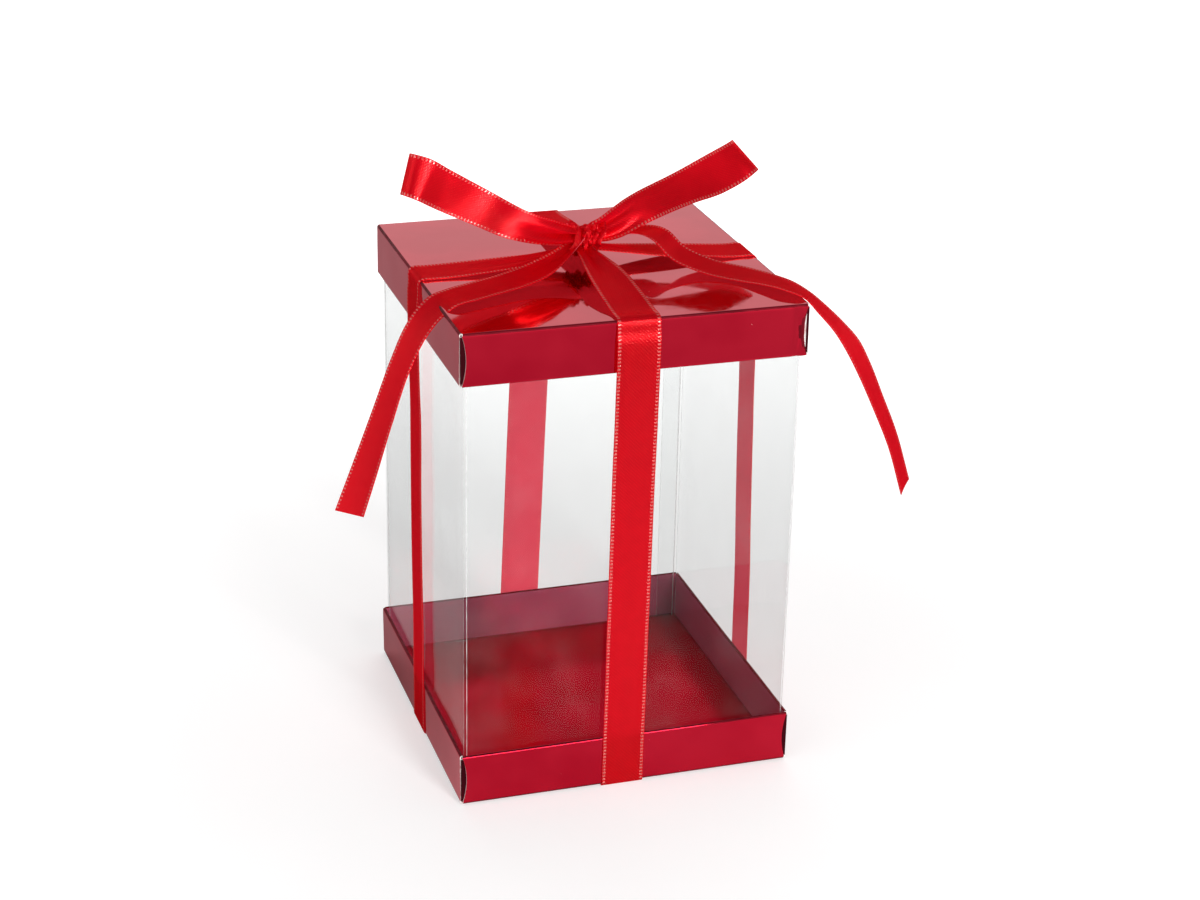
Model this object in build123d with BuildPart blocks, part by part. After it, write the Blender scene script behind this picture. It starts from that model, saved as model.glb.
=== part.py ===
from build123d import *
import os
from math import cos, radians, sin

# A favour box: a clear creased sleeve stands in a foil-card base tray, a matching lid covers
# its top, and one satin ribbon is tied crosswise round all three with a bow on the lid.
# Millimetres. +Z is up, the front faces -Y, and the origin is on the resting surface under the
# middle of the box.

# Card lid and base
box_side = 100.0  # outside width and depth
box_height = 143.6  # underside of the base card to the top of the lid card
base_wall_height = 15.5
lid_wall_height = 15.2
card_thickness = 0.35
corner_slit = 0.7  # a front or back wall stops this far short of the upright corner
tab_length = 12.0
tab_trim = 0.6  # a corner tab stops this far short of the folds above and below it
leg_trim = 0.5  # a roll-over's inner leg stops this far short of the closed face

# Clear sleeve
film_thickness = 0.3
sleeve_clearance = 0.25  # film to the inner legs, on each side
glue_flap_width = 6.0

# Ribbon round the box
ribbon_width = 12.5
ribbon_thickness = 0.25
ribbon_gap = 0.1  # ribbon to the card walls that it passes
hump_margin = 2.0  # level stretch beyond the ribbon that the upper bottom strap crosses
hump_ramp = 4.0
# Middle of each upright ribbon, measured along its wall from the wall's middle
drop_foot = {"front": -1.5, "right": -9.0, "back": 5.0, "left": 0.0}
drop_head = {"front": 0.0, "right": -1.0, "back": 0.0, "left": -1.0}

# Knot
knot_radius = 5.5
knot_height = 10.6
knot_round = 3.0
knot_lift = 2.0  # lid top to the knot's underside
knot_clearance = 0.03  # knot to the ends gathered into it
strap_rise = 4.2  # lid top to the top straps where they enter the knot
strap_grip = 1.5  # length of a strap inside the knot
strap_knot_width = 7.0  # a top strap gathered into the knot

# Loops of the bow: the left one stands on edge, the right one is swept and leans towards the back
left_loop_reach = 52.7  # knot axis to the middle of the tip
left_loop_rise = 30.0  # lid top to the middle of the tip
left_loop_lean = 13.7  # the tip's top leans in by this angle
right_loop_reach = 58.6
right_loop_rise = 23.7
right_loop_lean = 13.4
right_loop_sweep = 18.7  # turned back by this angle, seen from above
right_loop_recline = 55.0  # the upper edge leans back by this angle
loop_tip_radius = 4.2
loop_root_radius = 1.1
loop_root_low = 7.4  # lid top to the gathered root's lower and upper edges
loop_root_high = 12.0

# Tails of the bow, each in an upright plane through the knot
tail_grip = 2.5
tail_knot_width = 6.0  # a tail gathered into the knot
tail_gather_run = 24.0  # knot axis to where a tail has its full width
tail_start = 6.0  # lid top to the tail where it leaves the knot
tail_lift = 1.5  # lid top to the tail where it lies along the lid
tail_overhang = 6.0  # lid edge to the turn of the tail
left_tail_angle = 205.0
left_tail_reach = 30.9  # lid edge to the tip, outward
left_tail_fall = 54.6  # lid top to the tip, downward
left_tail_bend = 14.0
right_tail_angle = 322.0
right_tail_crest_run = 18.0  # knot axis to the top of the tail's hump
right_tail_crest = 9.5
right_tail_landing_run = 36.0
right_tail_shoulder_reach = 16.0
right_tail_shoulder_fall = 12.5
right_tail_reach = 35.0
right_tail_fall = 53.8
right_tail_bend = 12.0

# Worked out from the sizes above
half_side = box_side / 2
base_bottom = 2 * ribbon_thickness  # two ribbon layers cross under the base
lid_top = base_bottom + box_height
wall_depth = 3 * card_thickness  # outer wall, corner tab and inner leg
sleeve_side = box_side - 2 * (wall_depth + sleeve_clearance)
sleeve_height = box_height - 2 * card_thickness
ribbon_split = base_bottom + box_height / 2
knot_bottom = lid_top + knot_lift

SIDES = {"front": 0.0, "right": 90.0, "back": 180.0, "left": 270.0}
FOOT = (Align.CENTER, Align.MIN, Align.MIN)
UPWARD = 1
DOWNWARD = -1

os.makedirs("parts", exist_ok=True)


def save(piece, name):
    piece.part.label = name
    export_step(piece.part, f"parts/{name}.step")


def wall_frame(side, half_width, level, sense):
    """Frame at the foot of one side: x along it, y inward, z away from the closed face."""
    turn = radians(SIDES[side])
    foot = (half_width * sin(turn), -half_width * cos(turn), level)
    along = (sense * cos(turn), sense * sin(turn), 0)
    return Plane(origin=foot, x_dir=along, z_dir=(0, 0, sense))


def outside_plane(side, distance):
    """Upright plane facing out of one side, at a distance from the middle: x along the side, y up."""
    turn = radians(SIDES[side])
    outward = (sin(turn), -cos(turn), 0)
    origin = (distance * sin(turn), -distance * cos(turn), 0)
    return Plane(origin=origin, x_dir=(cos(turn), sin(turn), 0), z_dir=outward)


def slab(name, frame, length, depth, height, place):
    with BuildPart(frame) as panel:
        with Locations(place):
            Box(length, depth, height, align=FOOT)
    save(panel, name)


# Base tray and lid: one folded blank each
def rollover(name, frame, rim_length, wall_height):
    """The wall's edge turned over into a rim, with a leg down its inner face."""
    leg_foot = card_thickness + leg_trim
    with BuildPart(frame) as turned:
        with Locations((0, 0, wall_height - card_thickness)):
            Box(rim_length, wall_depth, card_thickness, align=FOOT)
        with Locations((0, wall_depth - card_thickness, leg_foot)):
            Box(rim_length, card_thickness, wall_height - card_thickness - leg_foot, align=FOOT)
    save(turned, name)


def corner_tabs(prefix, side, frame, wall_height):
    """The neighbouring walls' end tabs, held between this wall and its leg."""
    tab_foot = card_thickness + tab_trim
    tab_height = wall_height - 2 * tab_foot
    reach = half_side - card_thickness - tab_length / 2
    for place in (-reach, reach):
        end = "left" if frame.x_dir.X * place < 0 else "right"
        seat = (place, card_thickness, tab_foot)
        slab(f"{prefix}_{side}_{end}_tab", frame, tab_length, card_thickness, tab_height, seat)


def tray(prefix, face_name, level, sense, wall_height):
    with BuildPart(Plane(origin=(0, 0, level), z_dir=(0, 0, sense))) as face:
        Box(box_side, box_side, card_thickness, align=(Align.CENTER, Align.CENTER, Align.MIN))
    save(face, face_name)
    outer_height = wall_height - 2 * card_thickness
    for side in SIDES:
        frame = wall_frame(side, half_side, level, sense)
        if side in ("front", "back"):
            wall_length = box_side - 2 * corner_slit
            rim_length = wall_length
            corner_tabs(prefix, side, frame, wall_height)
        else:
            wall_length = box_side - 2 * card_thickness
            rim_length = box_side - 2 * wall_depth
        foot = (0, 0, card_thickness)
        slab(f"{prefix}_{side}_wall", frame, wall_length, card_thickness, outer_height, foot)
        rollover(f"{prefix}_{side}_rollover", frame, rim_length, wall_height)


tray("base", "base_floor", base_bottom, UPWARD, base_wall_height)
tray("lid", "lid_top", lid_top, DOWNWARD, lid_wall_height)

# Clear sleeve: four creased panels and the flap that closes it, at the back right corner
for side in SIDES:
    frame = wall_frame(side, sleeve_side / 2, base_bottom + card_thickness, UPWARD)
    panel_length = sleeve_side if side in ("front", "back") else sleeve_side - 2 * film_thickness
    slab(f"sleeve_{side}_panel", frame, panel_length, film_thickness, sleeve_height, (0, 0, 0))
    if side == "back":
        flap_place = (glue_flap_width / 2 + film_thickness - sleeve_side / 2, film_thickness, 0)
        slab("sleeve_glue_flap", frame, glue_flap_width, film_thickness, sleeve_height, flap_place)


# Ribbon under the base: the strap from side to side lies flat, the other crosses over it
def strap_plan(start, end):
    """Outline of a strap between the middles of its two ends, with its ends parallel to the walls."""
    (start_x, start_y), (end_x, end_y) = start, end
    across_x = abs(end_y - start_y) > abs(end_x - start_x)
    shift = (ribbon_width / 2, 0) if across_x else (0, ribbon_width / 2)
    return (
        (start_x - shift[0], start_y - shift[1]),
        (end_x - shift[0], end_y - shift[1]),
        (end_x + shift[0], end_y + shift[1]),
        (start_x + shift[0], start_y + shift[1]),
    )


strap_end = half_side + ribbon_gap
with BuildPart() as flat_strap:
    with BuildSketch():
        Polygon(
            *strap_plan((-strap_end, -drop_foot["left"]), (strap_end, drop_foot["right"])), align=None
        )
    extrude(amount=ribbon_thickness)
save(flat_strap, "ribbon_bottom_side_to_side")

crossing = (drop_foot["right"] - drop_foot["left"]) / 2
level_half = ribbon_width / 2 + hump_margin
underside = (
    (-strap_end, 0),
    (crossing - level_half - hump_ramp, 0),
    (crossing - level_half, ribbon_thickness),
    (crossing + level_half, ribbon_thickness),
    (crossing + level_half + hump_ramp, 0),
    (strap_end, 0),
)
topside = [(place, height + ribbon_thickness) for place, height in reversed(underside)]
with BuildPart() as humped_strap:
    with BuildSketch(Plane.YZ):
        Polygon(*underside, *topside, align=None)
    extrude(amount=half_side, both=True)
    with BuildSketch():
        Polygon(
            *strap_plan((drop_foot["front"], -strap_end), (-drop_foot["back"], strap_end)), align=None
        )
    extrude(amount=base_bottom, mode=Mode.INTERSECT)
save(humped_strap, "ribbon_bottom_front_to_back")


# Upright ribbons, in a lower and an upper stretch that part at half height
def upright(name, side, low, high):
    ribbon_top = lid_top + ribbon_thickness
    lean = (drop_head[side] - drop_foot[side]) / ribbon_top
    low_middle = drop_foot[side] + lean * low
    high_middle = drop_foot[side] + lean * high
    half_width = ribbon_width / 2
    with BuildPart() as stretch:
        with BuildSketch(outside_plane(side, strap_end)):
            Polygon(
                (low_middle - half_width, low),
                (low_middle + half_width, low),
                (high_middle + half_width, high),
                (high_middle - half_width, high),
                align=None,
            )
        extrude(amount=ribbon_thickness)
    save(stretch, name)


for side in SIDES:
    upright(f"ribbon_{side}_lower", side, 0, ribbon_split)
    upright(f"ribbon_{side}_upper", side, ribbon_split, lid_top + ribbon_thickness)


# Knot, and the same form a little larger, which trims what is gathered into it
def knot_form(clearance):
    with BuildPart() as form:
        with BuildSketch(Plane.XZ) as profile:
            with Locations((0, knot_bottom - clearance)):
                Rectangle(
                    knot_radius + clearance, knot_height + 2 * clearance, align=(Align.MIN, Align.MIN)
                )
            fillet(profile.vertices().group_by(Axis.X)[-1], radius=knot_round)
        revolve(axis=Axis.Z)
    return form


save(knot_form(0), "ribbon_knot")
knot_seat = knot_form(knot_clearance).part

# Top straps, which rise from the lid's edges and narrow into the knot
for side in SIDES:
    with BuildPart() as strap:
        with BuildSketch(outside_plane(side, strap_end)):
            with Locations((drop_head[side], lid_top + ribbon_thickness / 2)):
                Rectangle(ribbon_width, ribbon_thickness)
        with BuildSketch(outside_plane(side, knot_radius - strap_grip)):
            with Locations((0, lid_top + strap_rise)):
                Rectangle(strap_knot_width, ribbon_thickness)
        loft(ruled=True)
        add(knot_seat, mode=Mode.SUBTRACT)
    save(strap, f"ribbon_{side}_top")


# Loops: a teardrop band standing on edge, cut to the loop's outline seen from the front, then
# leant back about the line from root to tip and swept round the knot
def loop(name, outward, reach, rise, lean, sweep=0.0, recline=0.0):
    tilt = radians(lean)
    across = Vector(-outward * sin(tilt), 0, cos(tilt))
    along = Vector(outward * cos(tilt), 0, sin(tilt))
    root = Vector(0, 0, lid_top + (loop_root_low + loop_root_high) / 2)
    tip = Vector(outward * reach, 0, lid_top + rise)
    run = (tip - root).dot(along)
    band_plane = Plane(origin=root, x_dir=along, z_dir=across)
    tip_low = tip - across * (ribbon_width / 2) + along * loop_tip_radius
    tip_high = tip + across * (ribbon_width / 2) + along * loop_tip_radius
    with BuildPart() as band:
        for wall, mode in ((0, Mode.ADD), (ribbon_thickness, Mode.SUBTRACT)):
            with BuildSketch(band_plane):
                with Locations((loop_root_radius, 0)):
                    Circle(loop_root_radius - wall)
                with Locations((run - loop_tip_radius, 0)):
                    Circle(loop_tip_radius - wall)
                make_hull()
            extrude(amount=reach, both=True, mode=mode)
        with BuildSketch(Plane.XZ):
            Polygon(
                (0, lid_top + loop_root_low),
                (tip_low.X, tip_low.Z),
                (tip_high.X, tip_high.Z),
                (0, lid_top + loop_root_high),
                align=None,
            )
        extrude(amount=2 * loop_tip_radius, both=True, mode=Mode.INTERSECT)
    leant = band.part.rotate(Axis(root, tip - root), -outward * recline)
    with BuildPart() as placed:
        add(leant.rotate(Axis.Z, outward * sweep))
        add(knot_seat, mode=Mode.SUBTRACT)
    save(placed, name)


loop("ribbon_left_loop", -1, left_loop_reach, left_loop_rise, left_loop_lean)
loop(
    "ribbon_right_loop",
    1,
    right_loop_reach,
    right_loop_rise,
    right_loop_lean,
    right_loop_sweep,
    right_loop_recline,
)


# Tails: a strip over the lid and down outside it, from its route in an upright plane
def tail(name, angle, route, bend):
    turn = radians(angle)
    upright_plane = Plane(
        origin=(0, 0, lid_top), x_dir=(cos(turn), sin(turn), 0), z_dir=(sin(turn), -cos(turn), 0)
    )
    tip_run = route[-1][0] + ribbon_width
    half_width = ribbon_width / 2
    half_root = tail_knot_width / 2
    with BuildPart() as strip:
        with BuildSketch(upright_plane):
            with BuildLine():
                FilletPolyline(*route, radius=bend)
            trace(line_width=ribbon_thickness)
        extrude(amount=half_width, both=True)
        with BuildSketch(Plane(origin=(0, 0, 0), x_dir=(cos(turn), sin(turn), 0))):
            Polygon(
                (0, -half_root),
                (tail_gather_run, -half_width),
                (tip_run, -half_width),
                (tip_run, half_width),
                (tail_gather_run, half_width),
                (0, half_root),
                align=None,
            )
        extrude(amount=2 * lid_top, mode=Mode.INTERSECT)
        add(knot_seat, mode=Mode.SUBTRACT)
    save(strip, name)


tail_root = (knot_radius - tail_grip, tail_start)
left_edge = half_side / abs(cos(radians(left_tail_angle)))
left_route = (
    tail_root,
    (left_edge + tail_overhang, tail_lift),
    (left_edge + left_tail_reach, -left_tail_fall),
)
tail("ribbon_left_tail", left_tail_angle, left_route, left_tail_bend)

right_edge = half_side / abs(cos(radians(right_tail_angle)))
right_route = (
    tail_root,
    (right_tail_crest_run, right_tail_crest),
    (right_tail_landing_run, tail_lift),
    (right_edge + tail_overhang, tail_lift),
    (right_edge + right_tail_shoulder_reach, -right_tail_shoulder_fall),
    (right_edge + right_tail_reach, -right_tail_fall),
)
tail("ribbon_right_tail", right_tail_angle, right_route, right_tail_bend)
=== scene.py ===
from math import cos, exp, pi, radians, sin

import bmesh
import bpy
from mathutils import Matrix, Vector, noise


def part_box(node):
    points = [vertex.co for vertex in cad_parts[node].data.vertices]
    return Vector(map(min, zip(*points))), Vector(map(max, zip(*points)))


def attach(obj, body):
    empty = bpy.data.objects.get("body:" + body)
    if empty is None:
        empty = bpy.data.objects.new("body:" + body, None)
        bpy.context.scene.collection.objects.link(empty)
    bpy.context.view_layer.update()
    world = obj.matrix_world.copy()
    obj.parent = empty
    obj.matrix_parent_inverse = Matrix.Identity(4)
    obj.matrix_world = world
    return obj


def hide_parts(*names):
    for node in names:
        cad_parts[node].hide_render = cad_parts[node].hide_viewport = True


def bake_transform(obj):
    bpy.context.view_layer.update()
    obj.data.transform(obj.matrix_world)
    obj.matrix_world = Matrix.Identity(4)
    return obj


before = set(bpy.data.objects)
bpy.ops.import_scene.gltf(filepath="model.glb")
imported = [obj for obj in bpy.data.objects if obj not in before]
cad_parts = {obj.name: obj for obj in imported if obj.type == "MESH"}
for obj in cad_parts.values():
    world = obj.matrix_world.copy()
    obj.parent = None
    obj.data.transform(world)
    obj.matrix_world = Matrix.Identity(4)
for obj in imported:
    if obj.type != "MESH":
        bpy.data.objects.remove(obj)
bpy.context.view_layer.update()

# A clear favour box with a foil-card base and lid, tied with a satin ribbon. Shapes are worked out
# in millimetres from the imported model's own boxes, and turned into metres when a mesh is made.

MM = 0.001


def box_mm(node):
    low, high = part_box(node)
    return low / MM, high / MM


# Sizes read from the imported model
FLOOR_LOW, FLOOR_HIGH = box_mm("base_floor")
HALF = FLOOR_HIGH.x
BASE_BOTTOM = FLOOR_LOW.z
CARD = FLOOR_HIGH.z - FLOOR_LOW.z
RIM_LOW, RIM_HIGH = box_mm("base_front_rollover")
BASE_HEIGHT = RIM_HIGH.z - BASE_BOTTOM
WALL_DEPTH = RIM_HIGH.y - RIM_LOW.y
LEG_FOOT = RIM_LOW.z - BASE_BOTTOM
LID_TOP = box_mm("lid_top")[1].z
LID_HEIGHT = LID_TOP - box_mm("lid_front_rollover")[0].z
TAB_LOW, TAB_HIGH = box_mm("base_front_left_tab")
TAB_LENGTH = TAB_HIGH.x - TAB_LOW.x
TAB_FOOT = TAB_LOW.z - BASE_BOTTOM
FILM_LOW, FILM_HIGH = box_mm("sleeve_front_panel")
FILM_HALF = FILM_HIGH.x
FILM = FILM_HIGH.y - FILM_LOW.y
FLAP_LOW, FLAP_HIGH = box_mm("sleeve_glue_flap")
FLAP_WIDTH = FLAP_HIGH.x - FLAP_LOW.x
STRAP_LOW, STRAP_HIGH = box_mm("ribbon_front_lower")
SPLIT = STRAP_HIGH.z
RIBBON = STRAP_HIGH.y - STRAP_LOW.y
RIBBON_OUT = -(STRAP_LOW.y + STRAP_HIGH.y) / 2

# The ribbon's width, and each wall's turn from the front one in degrees
WIDTH = 12.5
SIDES = {"front": 0.0, "right": 90.0, "back": 180.0, "left": 270.0}


# Node helpers
def add_node(tree, kind, inputs=None, **settings):
    made = tree.nodes.new(kind)
    for name, value in settings.items():
        setattr(made, name, value)
    for key, value in (inputs or {}).items():
        if isinstance(value, bpy.types.NodeSocket):
            tree.links.new(value, made.inputs[key])
        else:
            made.inputs[key].default_value = value
    return made


def calc(tree, operation, first, second=0.0, third=0.0, clamp=False):
    inputs = {0: first, 1: second, 2: third}
    return add_node(tree, "ShaderNodeMath", inputs, operation=operation, use_clamp=clamp).outputs[0]


def times(tree, first, second):
    return calc(tree, "MULTIPLY", first, second)


def plus(tree, first, second):
    return calc(tree, "ADD", first, second)


def band(tree, value, low, high, to_low=0.0, to_high=1.0):
    inputs = {"Value": value, 1: low, 2: high, 3: to_low, 4: to_high}
    made = add_node(tree, "ShaderNodeMapRange", inputs, interpolation_type="SMOOTHSTEP")
    return made.outputs[0]


def mix_colour(tree, factor, first, second):
    made = add_node(tree, "ShaderNodeMix", data_type="RGBA")
    for key, value in ((0, factor), (6, first), (7, second)):
        if isinstance(value, bpy.types.NodeSocket):
            tree.links.new(value, made.inputs[key])
        else:
            made.inputs[key].default_value = value if key == 0 else (*value, 1.0)
    return made.outputs[2]


def mix_shader(tree, factor, first, second):
    return add_node(tree, "ShaderNodeMixShader", {0: factor, 1: first, 2: second}).outputs[0]


def plain_shader(tree, kind, colour):
    return add_node(tree, kind, {"Color": (*colour, 1.0)}).outputs[0]


def principled(tree, inputs):
    return add_node(tree, "ShaderNodeBsdfPrincipled", inputs).outputs[0]


def place_mm(tree):
    """Object coordinates in millimetres."""
    place = add_node(tree, "ShaderNodeTexCoord").outputs["Object"]
    scaled = add_node(tree, "ShaderNodeVectorMath", {0: place}, operation="SCALE")
    scaled.inputs["Scale"].default_value = 1 / MM
    return scaled.outputs[0]


def grain(tree, place, scale, detail=2.0):
    inputs = {"Vector": place, "Scale": scale, "Detail": detail}
    return add_node(tree, "ShaderNodeTexNoise", inputs).outputs["Fac"]


def new_material(name):
    made = bpy.data.materials.new(name)
    made.use_nodes = True
    made.node_tree.nodes.clear()
    return made, made.node_tree


def show(tree, shader):
    add_node(tree, "ShaderNodeOutputMaterial", {"Surface": shader})


def bump(tree, height, distance):
    inputs = {"Height": height, "Distance": distance, "Strength": 1.0}
    return add_node(tree, "ShaderNodeBump", inputs).outputs[0]


# Materials
WHITE = (1.0, 1.0, 1.0)


def foil(name, deep, light, roughness, ripple, metal=1.0, level=0.5, tint=WHITE):
    """Red metallised card: a slow ripple, a fine tooth, and specks of dust and pinholes."""
    speck_reach, clean_share = (0.02, 0.045), 0.72
    speck_colour, speck_cover = (0.9, 0.45, 0.42), 0.75
    speck_dullness, speck_height = 0.3, 0.01
    tooth = 0.0006
    made, tree = new_material(name)
    place = place_mm(tree)
    slow = grain(tree, place, 0.05)
    fine = grain(tree, place, 1.6, 3.0)
    cells = add_node(tree, "ShaderNodeTexVoronoi", {"Vector": place, "Scale": 0.3})
    chance = add_node(tree, "ShaderNodeSeparateColor", {0: cells.outputs["Color"]}).outputs[0]
    near = band(tree, cells.outputs["Distance"], *speck_reach, 1.0, 0.0)
    speck = times(tree, near, calc(tree, "GREATER_THAN", chance, clean_share))
    colour = mix_colour(tree, band(tree, slow, 0.3, 0.7), deep, light)
    colour = mix_colour(tree, times(tree, speck, speck_cover), colour, speck_colour)
    rough = band(tree, grain(tree, place, 0.4, 3.0), 0.3, 0.7, *roughness)
    rough = plus(tree, rough, times(tree, speck, speck_dullness))
    height = plus(tree, times(tree, slow, ripple), times(tree, fine, tooth))
    height = plus(tree, height, times(tree, speck, speck_height))
    shader = principled(
        tree,
        {
            "Base Color": colour,
            "Metallic": metal,
            "Roughness": rough,
            "Specular IOR Level": level,
            "Specular Tint": (*tint, 1.0),
            "Normal": bump(tree, height, MM),
        },
    )
    show(tree, shader)
    return made


def card_edge():
    """The white core of the card, where it is cut or the foil has come off a fold. At the lid's crushed
    corner a strip of it is a painted highlight.
    """
    grey, cream, foil_left = (0.78, 0.72, 0.68), (0.9, 0.87, 0.84), (0.5, 0.05, 0.07)
    made, tree = new_material("card_edge")
    place = place_mm(tree)
    fibre = grain(tree, place, 3.0, 4.0)
    stain = grain(tree, place, 0.35)
    colour = mix_colour(tree, band(tree, fibre, 0.35, 0.65), grey, cream)
    colour = mix_colour(tree, band(tree, stain, 0.5, 0.7, 0.0, 0.75), colour, foil_left)
    normal = bump(tree, fibre, 0.05 * MM)
    show(tree, principled(tree, {"Base Color": colour, "Roughness": 0.8, "Normal": normal}))
    return made


def clear_film():
    """Clear film: it passes most light, mirrors at a slant, and is faintly hazed and scuffed."""
    passed, milky = (0.945, 0.949, 0.948), (0.86, 0.86, 0.87)
    hazed, scuffed = 0.012, 0.02
    mirror_square, mirror_slant, slant_power = 0.005, 0.45, 5.0
    upright = (1.2, 1.2, 0.03)
    made, tree = new_material("clear_film")
    place = place_mm(tree)
    sway = grain(tree, place, 0.03, 1.0)
    haze = grain(tree, place, 0.06, 4.0)
    stretch = add_node(tree, "ShaderNodeVectorMath", {0: place, 1: upright}, operation="MULTIPLY")
    scuff = band(tree, grain(tree, stretch.outputs[0], 1.0, 5.0), 0.66, 0.78)
    normal = bump(tree, sway, 0.6 * MM)
    clear = plain_shader(tree, "ShaderNodeBsdfTransparent", passed)
    milk = plain_shader(tree, "ShaderNodeBsdfDiffuse", milky)
    polish = {"Color": (*WHITE, 1.0), "Roughness": 0.03, "Normal": normal}
    mirror = add_node(tree, "ShaderNodeBsdfGlossy", polish).outputs[0]
    veil = times(tree, band(tree, haze, 0.4, 0.75), hazed)
    veil = plus(tree, veil, times(tree, scuff, scuffed))
    body = mix_shader(tree, veil, clear, milk)
    facing = add_node(tree, "ShaderNodeLayerWeight", {"Blend": 0.5, "Normal": normal}).outputs["Facing"]
    slant = calc(tree, "POWER", facing, slant_power)
    slant = calc(tree, "MULTIPLY_ADD", slant, mirror_slant, mirror_square)
    show(tree, mix_shader(tree, slant, body, mirror))
    return made


def film_edge():
    """The cut edge and the stressed creases of the film, which catch the light."""
    passed, pale = (0.93, 0.935, 0.935), (0.82, 0.83, 0.83, 1.0)
    made, tree = new_material("film_edge")
    place = place_mm(tree)
    broken = band(tree, grain(tree, place, 0.25, 3.0), 0.3, 0.7, 0.3, 0.7)
    clear = plain_shader(tree, "ShaderNodeBsdfTransparent", passed)
    normal = bump(tree, broken, 0.05 * MM)
    bright = principled(tree, {"Base Color": pale, "Roughness": 0.25, "Normal": normal})
    show(tree, mix_shader(tree, broken, clear, bright))
    return made


def satin(name, deep, light, raised_sheen_colour, passed, silkiness):
    """Red satin ribbon: a fine twill whose threads on top are painted much lighter as painted sheen,
    stitches along both edges painted lighter as painted highlight, a silky sheen, and some light let
    through. A ray inside the thin ribbon passes out of it unchanged."""
    thread, cross_slope = 1.05, 1.9
    stitch_from, stitch_to = (0.41, 0.43), (0.475, 0.497)
    stitch_highlight_colour, stitch_highlight_cover = (0.95, 0.3, 0.27), 0.4
    let_through, sheen_share, gloss_share, gloss_least = 0.34, 0.3, 0.2, 0.002
    sheen_tone, gloss_tone, stitch_tone = (1.0, 0.005, 0.018, 1.0), (1.0, 0.2, 0.17), (1.0, 0.7, 0.64)
    made, tree = new_material(name)
    uv = add_node(tree, "ShaderNodeUVMap", uv_map="ribbon").outputs[0]
    split = add_node(tree, "ShaderNodeSeparateXYZ", {0: uv})
    across, along = split.outputs[0], split.outputs[1]
    pitch = WIDTH / thread * 2 * pi

    def wave(value):
        return times(tree, plus(tree, calc(tree, "SINE", value), 1.0), 0.5)

    twill = wave(times(tree, plus(tree, across, along), pitch))
    lean = calc(tree, "SUBTRACT", times(tree, across, cross_slope), along)
    weave = times(tree, twill, wave(times(tree, lean, pitch)))
    from_middle = calc(tree, "ABSOLUTE", calc(tree, "SUBTRACT", across, 0.5))
    selvedge = times(
        tree, band(tree, from_middle, *stitch_from), band(tree, from_middle, *stitch_to, 1.0, 0.0)
    )
    beat = calc(tree, "SINE", times(tree, along, pitch))
    stitch = times(tree, selvedge, band(tree, beat, -0.1, 0.6))
    cloudy = grain(tree, uv, 3.0, 3.0)
    slubs = band(tree, grain(tree, uv, 22.0), 0.35, 0.65)
    threads_up = times(tree, weave, calc(tree, "MULTIPLY_ADD", slubs, 0.5, 0.5))
    colour = mix_colour(tree, band(tree, cloudy, 0.3, 0.7), deep, light)
    # The threads on top of the twill are painted far lighter than the rest: painted sheen.
    colour = mix_colour(tree, threads_up, colour, raised_sheen_colour)
    # The stitches are painted lighter: painted highlight along the edges; their bump and gloss below are
    # their own.
    colour = mix_colour(tree, times(tree, stitch, stitch_highlight_cover), colour, stitch_highlight_colour)
    rough = calc(tree, "SUBTRACT", 0.24, times(tree, weave, 0.05))
    height = plus(tree, times(tree, weave, 0.05), times(tree, stitch, 0.12))
    grain_line = add_node(tree, "ShaderNodeTangent", direction_type="UV_MAP", uv_map="ribbon").outputs[0]
    normal = bump(tree, height, 0.5 * MM)
    threads = principled(
        tree, {"Base Color": colour, "Roughness": rough, "Specular IOR Level": 0.0, "Normal": normal}
    )
    backlit = plain_shader(tree, "ShaderNodeBsdfTranslucent", passed)
    body = mix_shader(tree, let_through, threads, backlit)

    def silk(tone, roughness, anisotropy):
        inputs = {"Color": tone, "Roughness": roughness, "Anisotropy": anisotropy}
        inputs.update({"Normal": normal, "Tangent": grain_line})
        return add_node(tree, "ShaderNodeBsdfAnisotropic", inputs).outputs[0]

    body = mix_shader(tree, sheen_share * silkiness, body, silk(sheen_tone, 0.42, -0.5))
    gloss = silk(mix_colour(tree, stitch, gloss_tone, stitch_tone), rough, -0.6)
    shine = calc(tree, "MULTIPLY_ADD", threads_up, gloss_share * silkiness, gloss_least)
    shine = calc(tree, "MULTIPLY_ADD", stitch, gloss_share * silkiness, shine)
    front = mix_shader(tree, shine, body, gloss)
    inside = add_node(tree, "ShaderNodeNewGeometry").outputs["Backfacing"]
    passing = plain_shader(tree, "ShaderNodeBsdfTransparent", WHITE)
    show(tree, mix_shader(tree, inside, front, passing))
    return made


FACE = ((0.47, 0.008, 0.026), (0.54, 0.013, 0.034), (0.035, 0.075), 0.03)
FOIL = foil("red_foil", *FACE)
# The walls' foil is the top's foil with a pink tint on its reflection, so the walls look darker than the
# top: painted shade.
FOIL_WALL_SHADE = foil("red_foil_wall_painted_shade", *FACE, tint=(1.0, 0.74, 0.77))
FOIL_BACK = foil(
    "red_foil_reverse",
    deep=(0.44, 0.003, 0.012),
    light=(0.52, 0.006, 0.02),
    roughness=(0.17, 0.24),
    ripple=0.004,
    metal=0.6,
    level=0.02,
    tint=(0.9, 0.4, 0.5),
)
# Dark foil for the folds, the base's rolled rims and the end of the lid's crushed corner: painted shade.
FOIL_FOLD_SHADE = foil(
    "red_foil_fold_painted_shade",
    deep=(0.1, 0.002, 0.007),
    light=(0.18, 0.004, 0.012),
    roughness=(0.5, 0.65),
    ripple=0.0,
    metal=0.4,
    level=0.1,
)
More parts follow.
